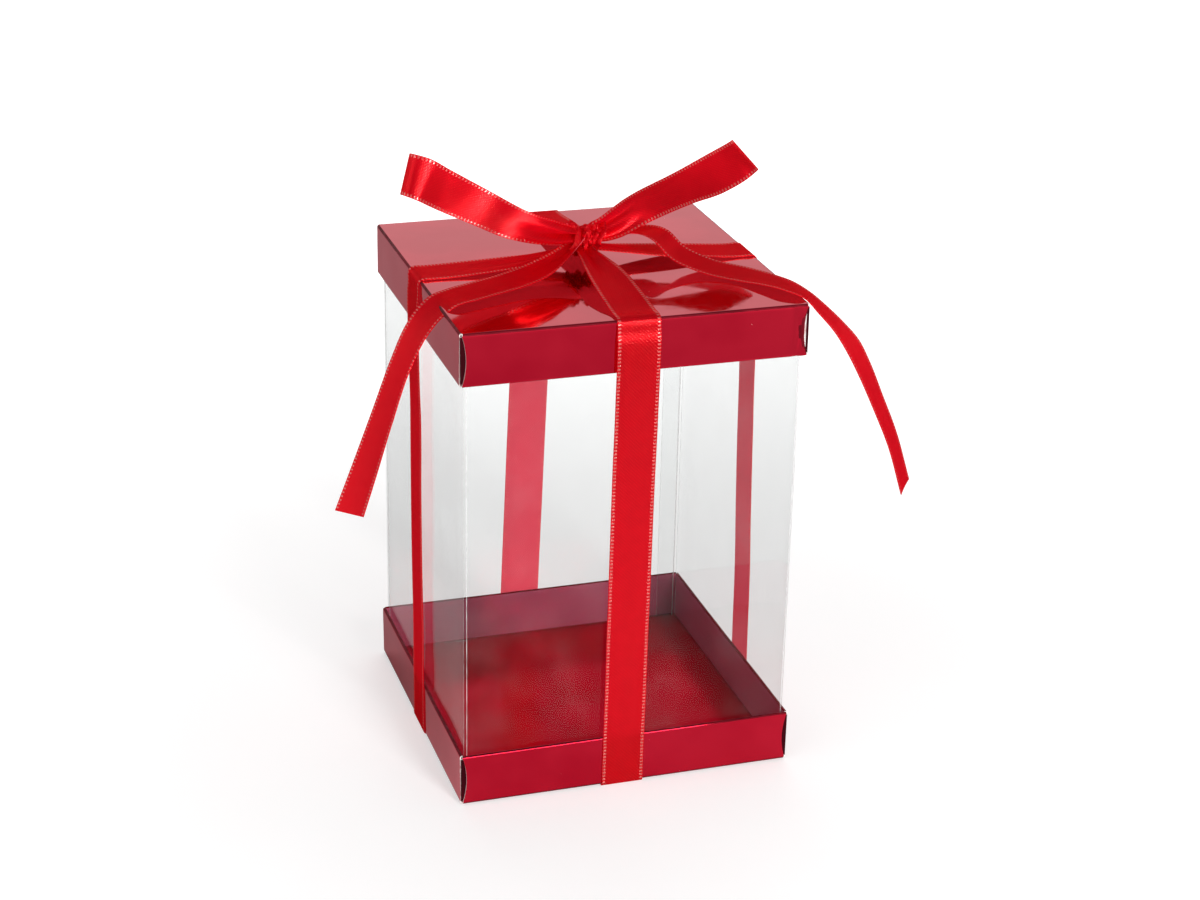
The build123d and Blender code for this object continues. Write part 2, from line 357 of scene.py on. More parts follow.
# Near-black foil for the corner tabs seen in the slits: painted shade for the slit's dark depth.
FOIL_TAB_SHADE = foil(
    "red_foil_tab_painted_shade",
    deep=(0.025, 0.001, 0.003),
    light=(0.045, 0.002, 0.005),
    roughness=(0.6, 0.7),
    ripple=0.0,
    metal=0.0,
    level=0.03,
)
# Paler mauve foil for the legs of the rolled rims, which are the same foil face: painted reflection of the
# film's glare over them.
FOIL_LEG_PAINTED_GLARE = foil(
    "red_foil_leg_painted_glare",
    deep=(0.38, 0.075, 0.13),
    light=(0.45, 0.1, 0.165),
    roughness=(0.3, 0.42),
    ripple=0.03,
    metal=0.1,
    level=0.06,
)
CARD_EDGE = card_edge()
CLEAR = clear_film()
CREASE = film_edge()
SATIN = satin(
    "satin",
    deep=(0.3, 0.0002, 0.004),
    light=(0.38, 0.0004, 0.005),
    raised_sheen_colour=(0.98, 0.004, 0.014),
    passed=(0.97, 0.006, 0.026),
    silkiness=1.0,
)
SATIN_BACK = satin(
    "satin_reverse",
    deep=(0.72, 0.07, 0.11),
    light=(0.8, 0.1, 0.14),
    raised_sheen_colour=(0.95, 0.14, 0.19),
    passed=(1.0, 0.08, 0.13),
    silkiness=0.2,
)


# Mesh helpers
def make_piece(name, points, faces, materials, kinds=None, uvs=None, crease=40.0, closed=True):
    mesh = bpy.data.meshes.new(name)
    mesh.from_pydata([Vector(p) * MM for p in points], [], faces)
    for material in materials:
        mesh.materials.append(material)
    if kinds:
        mesh.polygons.foreach_set("material_index", kinds)
    if uvs:
        layer = mesh.uv_layers.new(name="ribbon")
        for loop in mesh.loops:
            layer.data[loop.index].uv = uvs[loop.vertex_index]
    if closed:
        work = bmesh.new()
        work.from_mesh(mesh)
        bmesh.ops.recalc_face_normals(work, faces=work.faces)
        work.to_mesh(mesh)
        work.free()
    mesh.polygons.foreach_set("use_smooth", [True] * len(mesh.polygons))
    mesh.set_sharp_from_angle(angle=radians(crease))
    mesh.update()
    piece = bpy.data.objects.new(name, mesh)
    bpy.context.scene.collection.objects.link(piece)
    return piece


def keep_rim_sharp(mesh):
    """Free edges stay crisp when the sheet gets its thickness, so that strips meet without a line."""
    uses = {}
    for face in mesh.polygons:
        for edge in face.edge_keys:
            uses[edge] = uses.get(edge, 0) + 1
    for edge in mesh.edges:
        if uses[edge.key] == 1:
            edge.use_edge_sharp = True


class Shell:
    """Points, faces and the material of each face, gathered while a folded sheet is laid out."""

    def __init__(self):
        self.points, self.faces, self.kinds, self.keys = [], [], [], {}

    def point(self, key, make):
        if key not in self.keys:
            self.keys[key] = len(self.points)
            self.points.append(make())
        return self.keys[key]

    def face(self, corners, kind):
        self.faces.append(corners)
        self.kinds.append(kind)


def cell(a, b):
    """The corners of one cell of a grid, in order."""
    return ((a, b), (a + 1, b), (a + 1, b + 1), (a, b + 1))


def rim_cell(a):
    """The corners of one cell of a sheet's cut edge, from the outer to the inner layer."""
    return ((a, OUTER), (a + 1, OUTER), (a + 1, INNER), (a, INNER))


def within(value):
    return min(1.0, max(0.0, value))


def ease(value, low, high):
    share = within((value - low) / (high - low))
    return share * share * (3 - 2 * share)


def hump(value, centre, reach):
    return exp(-(((value - centre) / reach) ** 2))


def wobble(x, y, z=0.0):
    return noise.noise(Vector((x, y, z)))


# Card base and lid: one folded blank each, with rounded folds, rolled rims and corner tabs
FOLD = 0.6
RIM = WALL_DEPTH / 2
TAB_FOLD = 0.45
SIDE_END = TAB_FOLD + CARD

# Kinds of face, and the material of each. The first two are also the sheet's two layers.
OUTER, INNER, EDGE, FOLD_SHADE, LEG, TAB, WALL = range(7)
CARD_MATERIALS = (FOIL, FOIL_BACK, CARD_EDGE, FOIL_FOLD_SHADE, FOIL_LEG_PAINTED_GLARE, FOIL_TAB_SHADE, FOIL_WALL_SHADE)

# Insets of the columns from a corner, rows over the fold, wall, rolled rim and leg, and the last row
# that counts as rim. Then the steps round a tab's fold, along the tab and up it.
COLUMNS = (0.0, 0.2, 0.5, 0.9, 1.4, 2.0, 2.7, 3.5, 4.4, 5.6, 7.5)
COLUMNS += (11.0, 15.0, 20.0, 25.0, 30.0, 35.0, 40.0, 45.0)
FOLD_ROWS, WALL_ROWS, CURL_ROWS, LEG_ROWS = 6, 17, 9, 5
RIM_CURL = 6
RIM_ROWS = FOLD_ROWS + WALL_ROWS + RIM_CURL
TAB_TURN, TAB_STEPS, TAB_ROWS = 6, 12, 8

# The slit beside the end of a front or back wall: its width at both ends, how much wider it is at
# mid height, and the shape of that curve. Then the gaps at the ends of the rolled rims, and how far
# the second column wanders.
SLIT, SLIT_BELLY, SLIT_SHAPE = 0.5, 1.15, 0.8
RIM_GAP_FRONT, RIM_GAP_SIDE = 0.35, 0.1
RAGGED = 0.12

# A wall is held flat near its middle, where the ribbon is, and bulges and buckles elsewhere
HELD, BULGE, BUCKLE = 17, 0.1, 0.05
PANEL_LIFT, PANEL_SWAY = 0.05, 0.09

# The lid's crushed front right corner: place along the wall, reach and depth of a groove, of the swelling
# beside it and of the crinkled end, and the greatest number of columns given the dark fold foil as painted
# shade
GROOVE, GROOVE_REACH, GROOVE_DEPTH, GROOVE_SWAY = 46.3, 0.75, 0.55, 0.7
SWELL, SWELL_REACH, SWELL_HEIGHT = 44.0, 1.5, 0.12
CRINKLE, CRINKLE_REACH, CRINKLE_HEIGHT, CRINKLE_WAVE = 48.0, 0.8, 0.2, 0.1
CRINKLE_PITCH, CRINKLE_LEAN = 5.2, 0.25
CRUSHED_SHADE = 4


def spread():
    """Shares along a side from -1 to 1, close together at the corners."""
    reach = HALF - FOLD
    half = [-(reach - inset) / reach for inset in COLUMNS]
    return half + [0.0] + [-share for share in reversed(half)]


def profile(height, along_front):
    """Rows from the closed face's edge over the fold, wall, rim and leg. Each has its depth behind the
    wall's face, its height, the direction to the inner layer and half the row's length."""
    straight = height - RIM - FOLD
    fold_end = HALF - FOLD

    def wall_end(h):
        if not along_front:
            return HALF - SIDE_END
        return HALF - SLIT - SLIT_BELLY * sin(pi * within((h - FOLD) / straight)) ** SLIT_SHAPE

    rim_end = HALF - (CARD + RIM_GAP_FRONT if along_front else WALL_DEPTH + RIM_GAP_SIDE)
    top_end = wall_end(height - RIM)
    rows = []
    for step in range(FOLD_ROWS):
        share = step / (FOLD_ROWS - 1)
        angle = radians(270 - 90 * share)
        h = FOLD + FOLD * sin(angle)
        end = fold_end + (wall_end(FOLD) - fold_end) * share
        rows.append((FOLD + FOLD * cos(angle), h, -cos(angle), -sin(angle), end))
    for step in range(1, WALL_ROWS + 1):
        h = FOLD + straight * step / (WALL_ROWS + 1)
        rows.append((0.0, h, 1.0, 0.0, wall_end(h)))
    for step in range(CURL_ROWS):
        share = step / (CURL_ROWS - 1)
        angle = radians(180 - 180 * share)
        h = height - RIM + RIM * sin(angle)
        end = top_end + (rim_end - top_end) * ease(share, 0, 1)
        rows.append((RIM + RIM * cos(angle), h, -cos(angle), -sin(angle), end))
    for step in range(1, LEG_ROWS + 1):
        h = height - RIM + (LEG_FOOT - height + RIM) * step / LEG_ROWS
        rows.append((WALL_DEPTH, h, -1.0, 0.0, rim_end))
    return rows


def crush(s, h, rise):
    """How far the lid's front wall stands out at its crushed right end."""
    fade = 0.45 + 0.55 * sin(pi * rise)
    groove = GROOVE_DEPTH * fade * hump(s, GROOVE + GROOVE_SWAY * sin(3.0 * rise), GROOVE_REACH)
    swell = SWELL_HEIGHT * fade * hump(s, SWELL, SWELL_REACH)
    wave = sin(2 * pi * (h / CRINKLE_PITCH + CRINKLE_LEAN * (s - CRINKLE))) * ease(h, 2.0, 5.0)
    crinkle = (CRINKLE_HEIGHT + CRINKLE_WAVE * wave) * hump(s, CRINKLE, CRINKLE_REACH)
    return swell + crinkle - groove


def blank(name, level, sense, height, seed, dented):
    """A folded card tray. Its closed face is at level, and its walls go up or down from it by sense."""
    shell = Shell()
    shares = spread()
    last = len(shares) - 1
    reach = HALF - FOLD

    def panel_lift(x, y):
        calm = (1 - (x / reach) ** 2) * (1 - (y / reach) ** 2)
        return calm * (PANEL_LIFT + PANEL_SWAY * wobble(x / 31, y / 31, seed))

    def panel_point(i, j, layer):
        x, y = reach * shares[i], reach * shares[j]
        return (x, y, level + sense * (CARD * layer + panel_lift(x, y)))

    def panel_corner(i, j, layer):
        return shell.point(("panel", i, j, layer), lambda: panel_point(i, j, layer))

    def side_point(side, s, d, h):
        turn = radians(SIDES[side])
        rise = h / height
        free = 1 - hump(s, 0, HELD)
        bow = free * ease(rise, 0, 0.9) * (BULGE + BULGE * wobble(s / 27, seed, turn))
        bow += BUCKLE * free * sin(pi * rise) * wobble(s / 12, rise * 1.5, seed + turn)
        if dented and side == "front":
            bow += crush(s, h, rise)
        out = HALF - d + bow
        return (
            out * sin(turn) + s * cos(turn),
            -out * cos(turn) + s * sin(turn),
            level + sense * h,
        )

    def crushed(side, row):
        """How many columns at the dented front wall's right end get the dark fold foil, as painted shade."""
        share = (row - FOLD_ROWS + 1) / (WALL_ROWS + 1)
        if not dented or side != "front" or not 0 < share < 1:
            return 0
        return round(CRUSHED_SHADE * sin(pi * share))

    def wall_kind(side, row, column, layer):
        # The legs get the paler leg foil: painted reflection.
        if row > RIM_ROWS:
            return LEG
        if layer == INNER:
            return INNER
        # Fold rows, the crushed corner's end columns and the base's rolled rim get the dark fold foil:
        # painted shade.
        if row < FOLD_ROWS - 1:
            return EDGE if column in (0, last - 1) else FOLD_SHADE
        if column >= last - crushed(side, row):
            return FOLD_SHADE
        if not dented and row > FOLD_ROWS + WALL_ROWS:
            return FOLD_SHADE
        # The rest of the wall gets the wall foil, whose tinted reflection is painted shade.
        return WALL

    for layer in (OUTER, INNER):
        for i in range(last):
            for j in range(last):
                shell.face([panel_corner(a, b, layer) for a, b in cell(i, j)], layer)

    seats = {
        "front": lambda c: ("panel", c, 0),
        "right": lambda c: ("panel", last, c),
        "back": lambda c: ("panel", last - c, last),
        "left": lambda c: ("panel", 0, last - c),
    }
    for side in SIDES:
        rows = profile(height, side in ("front", "back"))

        def key(row, column, layer):
            if row == 0:
                return (*seats[side](column), layer)
            return (side, row, column, layer)

        def corner(row, column, layer):
            d, h, back_d, back_h, end = rows[row]
            s = shares[column] * end
            if column in (1, last - 1):
                s += (RAGGED * wobble(h * 1.7, seed, column)) * (1 if column == 1 else -1)
            return shell.point(
                key(row, column, layer),
                lambda: side_point(side, s, d + CARD * layer * back_d, h + CARD * layer * back_h),
            )

        for row in range(len(rows) - 1):
            for column in range(last):
                for layer in (OUTER, INNER):
                    kind = wall_kind(side, row, column, layer)
                    shell.face([corner(a, b, layer) for a, b in cell(row, column)], kind)
            for column in (0, last):
                shell.face([corner(a, column, b) for a, b in rim_cell(row)], EDGE)
        foot = len(rows) - 1
        for column in range(last):
            shell.face([corner(foot, a, b) for a, b in rim_cell(column)], EDGE)

        if side in ("front", "back"):
            for hand in (-1, 1):
                # At the lid's crushed front right corner a strip of white card stands in for the corner's
                # highlight: painted highlight.
                painted_glint = dented and side == "front" and hand > 0
                add_tab(shell, side, hand, height, side_point, painted_glint)

    return make_piece(name, shell.points, shell.faces, CARD_MATERIALS, shell.kinds)


def add_tab(shell, side, hand, height, side_point, painted_glint):
    """A side wall's end tab: round the corner fold, then flat behind the front or back wall. Its outer face
    is near-black from just past the fold's start, and all of it at the lid's crushed corner: painted shade
    for the slit. A strip of white card shows near the fold's start; at the lid's crushed corner it lies just
    past the fold and is a painted highlight."""
    white_card_column = TAB_TURN + 1 if painted_glint else 1
    first_flat_share = 0.04
    path = []
    for step in range(TAB_TURN + 1):
        angle = radians(90 * step / TAB_TURN)
        s = HALF - TAB_FOLD + TAB_FOLD * cos(angle)
        path.append((s, SIDE_END - TAB_FOLD * sin(angle), -cos(angle), sin(angle)))
    flat_end = HALF - CARD - TAB_LENGTH
    flat_start = HALF - TAB_FOLD
    for share in (first_flat_share, *(step / TAB_STEPS for step in range(1, TAB_STEPS + 1))):
        s = flat_start + (flat_end - flat_start) * share
        path.append((s, CARD, 0.0, 1.0))
    levels = [TAB_FOOT + (height - 2 * TAB_FOOT) * step / TAB_ROWS for step in range(TAB_ROWS + 1)]

    def corner(index, row, layer):
        s, d, back_s, back_d = path[index]
        key = ("tab", side, hand, index, row, layer)
        place = (hand * (s + CARD * layer * back_s), d + CARD * layer * back_d)
        return shell.point(key, lambda: side_point(side, *place, levels[row]))

    ends = len(path) - 1
    for row in range(TAB_ROWS):
        for index in range(ends):
            for layer in (OUTER, INNER):
                kind = layer
                # Past the fold's start the outer face gets the near-black tab foil, painted shade; one
                # column is white card, a painted highlight at the crushed corner.
                if layer == OUTER and (index or painted_glint):
                    kind = EDGE if index == white_card_column else TAB
                shell.face([corner(a, b, layer) for a, b in cell(index, row)], kind)
        for index in (0, ends):
            shell.face([corner(index, a, b) for a, b in rim_cell(row)], EDGE)
    for row in (0, TAB_ROWS):
        for index in range(ends):
            shell.face([corner(a, row, b) for a, b in rim_cell(index)], EDGE)


def tray_nodes(prefix, face):
    nodes = [face]
    for side in SIDES:
        nodes += [f"{prefix}_{side}_wall", f"{prefix}_{side}_rollover"]
    return nodes + [f"{prefix}_{a}_{b}_tab" for a in ("front", "back") for b in ("left", "right")]


base = blank("base_tray", BASE_BOTTOM, 1, BASE_HEIGHT, 3.7, False)
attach(base, "base")
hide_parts(*tray_nodes("base", "base_floor"))
lid = blank("lid_tray", LID_TOP, -1, LID_HEIGHT, 8.3, True)
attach(lid, "lid")
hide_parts(*tray_nodes("lid", "lid_top"))


# Clear sleeve: one creased sheet, from the glue flap round four panels to the back
def sleeve():
    middle = FILM_HALF - FILM / 2
    bend = 0.7
    bend_steps, panel_steps, level_steps = 6, 12, 24
    stressed = (0, 5)
    sway = 0.5
    inset = FILM_HALF - 1.5 * FILM
    path = [(inset + FILM / 2 - FLAP_WIDTH, inset), (inset - bend - 0.4, inset)]
    kinds = [0, 0]
    centres = ((middle - bend, inset - bend, 90), (middle - bend, bend - middle, 0))
    centres += ((bend - middle, bend - middle, -90), (bend - middle, middle - bend, 180))
    run = 2 * (middle - bend)
    for x, y, start in centres:
        for step in range(bend_steps + 1):
            angle = radians(start - 90 * step / bend_steps)
            path.append((x + bend * cos(angle), y + bend * sin(angle)))
            kinds.append(1 if step in stressed else 0)
        last_x, last_y = path[-1]
        turn = radians(start - 180)
        for step in range(1, panel_steps):
            gone = run * step / panel_steps
            path.append((last_x + cos(turn) * gone, last_y + sin(turn) * gone))
            kinds.append(0)
    path.append((middle - FILM, middle))
    low, high = FILM_LOW.z, FILM_HIGH.z
    levels = [low + (high - low) * step / level_steps for step in range(level_steps + 1)]
    shell = Shell()
    count = len(path)
    inward = []
    for i in range(count):
        ax, ay = path[max(0, i - 1)]
        bx, by = path[min(count - 1, i + 1)]
        inward.append(Vector((by - ay, ax - bx)).normalized())

    def corner(i, row, layer):
        x, y = path[i]
        out = -inward[i]
        z = levels[row]
        share = (z - low) / (high - low)
        calm = sin(pi * within((share - 0.1) / 0.8)) ** 2
        flat = within((FILM_HALF - 1 - min(abs(x), abs(y))) / 40)
        shift = calm * flat * sway * wobble(x / 40 + 7, y / 40, z / 50)
        offset = shift + (FILM / 2 if layer == OUTER else -FILM / 2)
        return shell.point((i, row, layer), lambda: (x + out.x * offset, y + out.y * offset, z))

    for row in range(level_steps):
        for i in range(count - 1):
            for layer in (OUTER, INNER):
                kind = kinds[i] if layer == OUTER else 0
                shell.face([corner(a, b, layer) for a, b in cell(i, row)], kind)
        for i in (0, count - 1):
            shell.face([corner(i, a, b) for a, b in rim_cell(row)], 1)
    for row in (0, level_steps):
        for i in range(count - 1):
            shell.face([corner(a, row, b) for a, b in rim_cell(i)], 1)
    return make_piece("clear_sleeve", shell.points, shell.faces, (CLEAR, CREASE), shell.kinds)


film = sleeve()
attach(film, "sleeve")
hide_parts(*[f"sleeve_{side}_panel" for side in SIDES], "sleeve_glue_flap")


# Ribbon strips, from stations that give both edges, an arch across the strip and the depth of pleats
def curve_through(stations, step):
    """A smooth path through the stations, by chord length, as lists of numbers."""
    flat = [[*a, *b, arch, pleat] for a, b, arch, pleat in stations]
    middles = [(Vector(s[0]) + Vector(s[1])) / 2 for s in stations]
    knots = [0.0]
    for i in range(1, len(middles)):
        knots.append(knots[-1] + max(1e-4, (middles[i] - middles[i - 1]).length))
    slopes = []
    for i in range(len(flat)):
        before, after = max(0, i - 1), min(len(flat) - 1, i + 1)
        if before == i or after == i:
            run = knots[after] - knots[before]
            slopes.append([(q - p) / run for p, q in zip(flat[before], flat[after])])
            continue
        left, right = knots[i] - knots[before], knots[after] - knots[i]
        slopes.append(
            [
                ((m - p) / left * right + (q - m) / right * left) / (left + right)
                for p, m, q in zip(flat[before], flat[i], flat[after])
            ]
        )
    path = [flat[0]]
    for i in range(len(flat) - 1):
        run = knots[i + 1] - knots[i]
        parts = max(1, round(run / step))
        for part in range(1, parts + 1):
            t = part / parts
            h00, h10 = 2 * t**3 - 3 * t**2 + 1, t**3 - 2 * t**2 + t
            h01, h11 = -2 * t**3 + 3 * t**2, t**3 - t**2
            path.append(
                [
                    h00 * p + h10 * run * u + h01 * q + h11 * run * v
                    for p, q, u, v in zip(flat[i], flat[i + 1], slopes[i], slopes[i + 1])
                ]
            )
    return path


def strip(
    name,
    stations,
    folds=2.0,
    phase=0.0,
    start=0.0,
    flow=1,
    span=(0.0, 1.0),
    step=0.8,
    cells=14,
    crumple=0.0,
    flip=False,
):
    """A ribbon through the stations. folds and phase place the pleats, start and flow carry the weave
    on from another strip, span is the part of the weave's width shown, and flip turns its face."""
    crumple_scale = 0.55
    path = curve_through(stations, step)
    points, uvs, faces = [], [], []
    middles = [(Vector(p[0:3]) + Vector(p[3:6])) / 2 for p in path]
    length = 0.0
    for i, row in enumerate(path):
        if i:
            length += (middles[i] - middles[i - 1]).length
        one, two = Vector(row[0:3]), Vector(row[3:6])
        arch, pleat = row[6:]
        ahead = middles[min(i + 1, len(path) - 1)] - middles[max(0, i - 1)]
        up = ahead.cross(two - one).normalized()
        for column in range(cells + 1):
            u = column / cells
            lift = arch * 4 * u * (1 - u) + pleat * cos(2 * pi * folds * u + phase)
            point = one.lerp(two, u)
            lift += crumple * wobble(*(point * crumple_scale))
            points.append(point + up * lift)
            uvs.append((span[0] + (span[1] - span[0]) * u, (start + flow * length) / WIDTH))
    for i in range(len(path) - 1):
        for column in range(cells):
            a = i * (cells + 1) + column
            ring = (a, a + cells + 1, a + cells + 2, a + 1)
            faces.append(ring[::-1] if flip else ring)
    piece = make_piece(name, points, faces, (SATIN, SATIN_BACK), uvs=uvs, crease=75.0, closed=False)
    keep_rim_sharp(piece.data)
    thick = piece.modifiers.new("thickness", "SOLIDIFY")
    thick.thickness = RIBBON * MM
    thick.offset = 0.0
    thick.material_offset = 1
    return piece, length


def edges(middle, across, width, arch=0.0, pleat=0.0):
    middle, half = Vector(middle), Vector(across).normalized() * (width / 2)
    return (middle - half, middle + half, arch, pleat)


# Ribbon round the box. Middles of the uprights along each wall, as in the solids.
DROP_FOOT = {"front": -1.5, "right": -9.0, "back": 5.0, "left": 0.0}
DROP_HEAD = {"front": 0.0, "right": -1.0, "back": 0.0, "left": -1.0}
HEAD_LEVEL = LID_TOP + RIBBON

# Heights over which an upright comes free of the base and goes tight to the lid, how it hangs
# between them, the reach of the calm stretch at SPLIT, and how it stands off below the lid's edge
FREE_ABOVE, FREE_BELOW = (18, 34), (112, 127)
FREE_OUT, FREE_ARCH, FREE_SWAY, FREE_TWIST = 0.15, 0.12, 0.35, 0.02
CALM_REACH = 16
STAND_OFF, STAND_STARTS, STAND_ENDS = 1.0, (0.4, 8.0), (10.0, 46.0)


def drop_middle(side, z):
    return DROP_FOOT[side] + (DROP_HEAD[side] - DROP_FOOT[side]) * z / HEAD_LEVEL


def on_side(side, along, out, z):
    turn = radians(SIDES[side])
    return Vector((out * sin(turn) + along * cos(turn), -out * cos(turn) + along * sin(turn), z))


def side_along(side):
    turn = radians(SIDES[side])
    return Vector((cos(turn), sin(turn), 0))


def stand_off(side, z):
    """How far the ribbon stands off the wall where it comes over the lid's edge."""
    most = STAND_OFF if side == "front" else STAND_OFF / 2
    return most * ease(LID_TOP - z, *STAND_STARTS) * (1 - ease(LID_TOP - z, *STAND_ENDS))


def upright_stations(side, levels):
    seed = SIDES[side] / 41
    rows = []
    for z in levels:
        free = ease(z, *FREE_ABOVE) * (1 - ease(z, *FREE_BELOW))
        loose = free * (1 - hump(z, SPLIT, CALM_REACH))
        out = RIBBON_OUT + FREE_OUT * free + FREE_SWAY * loose * wobble(z / 31, seed)
        out += stand_off(side, z)
        tilt = side_along(side) + on_side(side, 0, FREE_TWIST * loose * wobble(z / 23, seed + 5), 0)
        rows.append(edges(on_side(side, drop_middle(side, z), out, z), tilt, WIDTH, FREE_ARCH * free))
    return rows


def under_strap(name, first, second):
    """Down one side, under the base and up the other side, as one length."""
    turn_radius = 0.75
    levels = [SPLIT, 60, 48, 36, 25, 17, 9, 3, turn_radius + RIBBON / 2]
    rows = upright_stations(first, levels)
    crossing_lift = RIBBON if first == "front" else 0.0

    def turn_station(side, along, step):
        angle = radians(step)
        out = RIBBON_OUT - turn_radius * (1 - cos(angle))
        z = RIBBON / 2 + turn_radius * (1 - sin(angle))
        return edges(on_side(side, DROP_FOOT[side], out, z), along, WIDTH)

    run_start = on_side(first, DROP_FOOT[first], RIBBON_OUT - turn_radius, 0)
    run_end = on_side(second, DROP_FOOT[second], RIBBON_OUT - turn_radius, 0)
    for step in (30, 60, 90):
        rows.append(turn_station(first, side_along(first), step))
    for share, high in ((0.2, 0), (0.33, 0.05), (0.4, 1), (0.5, 1), (0.6, 1), (0.67, 0.05), (0.8, 0)):
        middle = run_start.lerp(run_end, share)
        middle.z = RIBBON / 2 + crossing_lift * high
        rows.append(edges(middle, side_along(first), WIDTH))
    for step in (90, 60, 30):
        rows.append(turn_station(second, -side_along(second), step))
    for one, two, arch, pleat in reversed(upright_stations(second, levels)):
        rows.append((two, one, arch, pleat))
    piece, length = strip(name, rows, start=SPLIT, flow=-1)
    bottom = "ribbon_bottom_front_to_back" if first == "front" else "ribbon_bottom_side_to_side"
    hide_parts(f"ribbon_{first}_lower", f"ribbon_{second}_lower", bottom)
    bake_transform(piece)
    over_strap(first, SPLIT, 1)
    over_strap(second, SPLIT - length, -1)


# Top straps: distance from the middle, height over the lid, width, sideways shift, arch, pleats
TOP_RUNS = {
    "front": (
        (46, 0.55, WIDTH, 0.0, 0.1, 0.0),
        (35, 2.4, 12.3, -0.4, 0.5, 0.0),
        (21, 4.6, 10.6, -0.8, 0.9, 0.1),
        (12, 5.6, 7.6, -1.2, 0.8, 0.35),
        (5.5, 6.2, 5.6, -1.5, 0.5, 0.55),
        (2, 6.4, 5.0, -1.4, 0.3, 0.5),
    ),
    "right": (
        (46, 0.4, WIDTH, -1.0, 0.05, 0.0),
        (34, 1.2, 12.4, -0.8, 0.2, 0.0),
        (22, 2.3, 11.6, -0.5, 0.4, 0.1),
        (12, 3.6, 8.6, 0.0, 0.6, 0.3),
        (5.5, 4.6, 6.4, 0.0, 0.5, 0.5),
        (2, 5.0, 5.6, 0.0, 0.3, 0.5),
    ),
    "back": (
        (46, 0.5, WIDTH, 0.0, 0.05, 0.0),
        (34, 1.6, 12.4, -0.3, 0.3, 0.0),
        (22, 2.9, 11.4, -0.5, 0.5, 0.1),
        (12, 4.2, 8.6, 0.0, 0.6, 0.3),
        (5.5, 5.4, 6.2, 0.0, 0.5, 0.5),
        (2, 5.8, 5.4, 0.0, 0.3, 0.5),
    ),
    "left": (
        (46, 0.4, WIDTH, -1.0, 0.05, 0.0),
        (34, 0.9, 12.3, -0.8, 0.2, 0.15),
        (22, 1.9, 11.0, -0.5, 0.5, 0.45),
        (12, 3.2, 8.0, 0.0, 0.7, 0.7),
        (5.5, 4.2, 6.0, 0.0, 0.5, 0.7),
        (2, 4.6, 5.4, 0.0, 0.3, 0.6),
    ),
}


def over_strap(side, start, flow):
    """Up one side, over the lid's edge and along the lid into the knot. The weave runs on from below."""
    turn_radius = 1.5
    edge_out, edge_top = RIBBON_OUT + 0.15, LID_TOP + RIBBON / 2 + 0.3
    levels = [SPLIT, 82, 92, 102, 112, 120, 126, 131, 135, 138, 140.5]
    rows = [(one, two, -arch, pleat) for one, two, arch, pleat in upright_stations(side, levels)]
    for step in (0, 30, 60, 90):
        angle = radians(step)
        out = edge_out - turn_radius * (1 - cos(angle))
        z = edge_top - turn_radius * (1 - sin(angle))
        rows.append(edges(on_side(side, DROP_HEAD[side], out, z), side_along(side), WIDTH))
    for out, rise, width, shift, arch, pleat in TOP_RUNS[side]:
        middle = on_side(side, shift, out, LID_TOP + rise)
        rows.append(edges(middle, side_along(side), width, arch, pleat))
    span = (0.0, 1.0) if flow > 0 else (1.0, 0.0)
    piece, length = strip(f"ribbon_{side}_over_lid", rows, start=start, flow=flow, span=span, flip=True)
    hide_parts(f"ribbon_{side}_upper", f"ribbon_{side}_top")
    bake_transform(piece)


under_strap("ribbon_side_to_side", "left", "right")
under_strap("ribbon_front_to_back", "front", "back")


# Bow loops. Each front station gives the lower and upper edge as seen in the plane of the knot, how
# far each is set back from it along the view (forward if negative), an arch and pleats. The back
# layer is hidden by the front one: shares of its width, lowest first, and their set-back, from the
# tip to the knot. EYE is where the photo's camera stands.
EYE = Vector((-202.6, -642.33, 367.91))


def seen(x, z, depth):
    """The point seen at x, z in the plane of the knot, but set back along the view."""
    place = Vector((x, 0, z))
    return place + (place - EYE) * (depth / -EYE.y)


LEFT_LOOP = (
    ((-1.5, 150.6), (-2.0, 154.4), -2.2, -2.6, 0.3, 1.3),
    ((-5.5, 149.9), (-5.0, 155.4), -2.8, -3.4, 0.6, 1.4),
    ((-10.5, 150.0), (-9.0, 157.2), -3.8, -4.6, 0.8, 1.0),
    ((-22.7, 152.9), (-17.6, 160.9), -6.0, -4.1, 0.5, 0.1),
    ((-34.0, 158.3), (-28.3, 167.4), -3.4, 0.0, 0.3, 0.0),
    ((-44.5, 163.5), (-39.4, 174.2), -3.2, -0.2, 0.2, 0.0),
    ((-50.2, 166.6), (-46.2, 178.3), -4.1, -0.2, 0.1, 0.0),
    ((-53.2, 167.9), (-50.0, 179.6), -2.6, 1.2, 0.0, 0.0),
    ((-54.1, 168.3), (-51.3, 179.9), 0.0, 3.8, 0.0, 0.0),
)
LEFT_BACK = (
    (0.05, 0.9, 2.6, 6.2),
    (0.05, 0.9, 4.2, 7.0),
    (0.05, 0.9, 5.0, 6.8),
    (0.05, 0.9, 5.2, 5.4),
    (0.05, 0.9, 4.6, 3.5),
    (0.05, 0.9, 3.4, 2.0),
    (0.05, 0.9, 2.4, 1.8),
    (0.05, 0.9, 1.6, 1.4),
)
